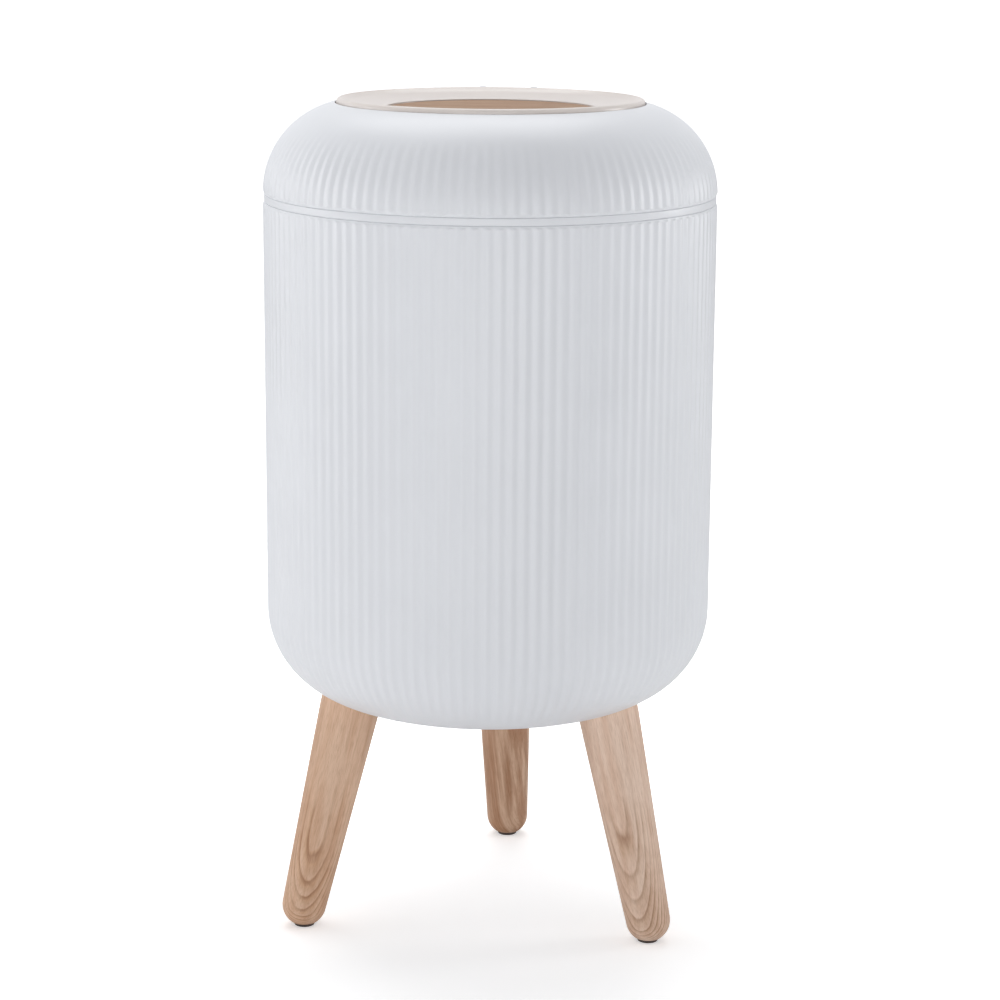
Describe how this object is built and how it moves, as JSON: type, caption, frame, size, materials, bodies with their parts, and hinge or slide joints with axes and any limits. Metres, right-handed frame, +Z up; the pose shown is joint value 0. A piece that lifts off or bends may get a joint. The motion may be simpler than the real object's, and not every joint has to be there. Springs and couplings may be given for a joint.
{
  "type": "push-top waste bin",
  "caption": "Round fluted waste bin on splayed wooden legs, with a lift-off domed lid and a sprung flap opened by a wood-faced push disc.",
  "frame": {"origin": "on the floor under the middle of the body", "axes": "+Z up along the body's axis, -Y to the front where the latch is, +Y to the hinge and the rear leg"},
  "size_m": [0.24, 0.24, 0.444],
  "materials": {
    "white_plastic": "satin moulded polypropylene",
    "cream_plastic": "satin moulded polypropylene",
    "inner_plastic": "matt moulded polypropylene",
    "latch_plastic": "matt moulded acetal",
    "wood": "matt lacquered pale wood",
    "foot_rubber": "matt",
    "bumper_rubber": "soft silicone",
    "steel": "zinc plated",
    "spring_steel": "drawn wire",
    "brass": "machined",
    "magnet": "nickel plated"
  },
  "bodies": {
    "bin": {"bin_body": "white_plastic", "leg_rear": "wood", "leg_insert_rear": "brass", "leg_screw_rear": "steel", "foot_pad_rear": "foot_rubber", "leg_front_left": "wood", "leg_insert_front_left": "brass", "leg_screw_front_left": "steel", "foot_pad_front_left": "foot_rubber", "leg_front_right": "wood", "leg_insert_front_right": "brass", "leg_screw_front_right": "steel", "foot_pad_front_right": "foot_rubber"},
    "bag_ring": {"bag_ring": "white_plastic"},
    "lid": {"lid_shell": "white_plastic", "throat_collar": "inner_plastic", "collar_screws": "steel", "seat_bumpers": "bumper_rubber", "hinge_pin": "steel", "torsion_spring": "spring_steel", "latch_housing": "latch_plastic", "latch_screws": "steel", "latch_magnets": "magnet", "latch_spring": "spring_steel"},
    "flap": {"flap_dish": "cream_plastic", "flap_cover": "cream_plastic", "flap_screws": "steel", "strike_plate": "steel", "plate_springs": "spring_steel"},
    "push_plate": {"push_plate": "inner_plastic", "wood_disc": "wood"},
    "latch_plunger": {"latch_plunger": "latch_plastic"}
  },
  "joints": [
    {"name": "bag_ring_lift", "type": "slide", "parent": "bin", "child": "bag_ring", "axis": [0, 0, 1], "range_m": [0, 0.08]},
    {"name": "lid_lift", "type": "slide", "parent": "bag_ring", "child": "lid", "axis": [0, 0, 1], "range_m": [0, 0.15]},
    {"name": "flap_hinge", "type": "hinge", "parent": "lid", "child": "flap", "pos_m": [0, 0.0854, 0.4406], "axis": [-1, 0, 0], "range_deg": [0, 85], "deforming": ["torsion_spring"]},
    {"name": "push_plate_press", "type": "slide", "parent": "flap", "child": "push_plate", "axis": [0, 0, -1], "range_m": [0, 0.003], "stiffness_N_per_m": 600, "springref_m": -0.004, "deforming": ["plate_springs"]},
    {"name": "latch_plunger_press", "type": "slide", "parent": "lid", "child": "latch_plunger", "axis": [0, 0, -1], "range_m": [0, 0.003], "deforming": ["latch_spring"]}
  ],
  "couplings": [
    {"joint": "latch_plunger_press", "follows": "push_plate_press", "ratio": 1}
  ]
}
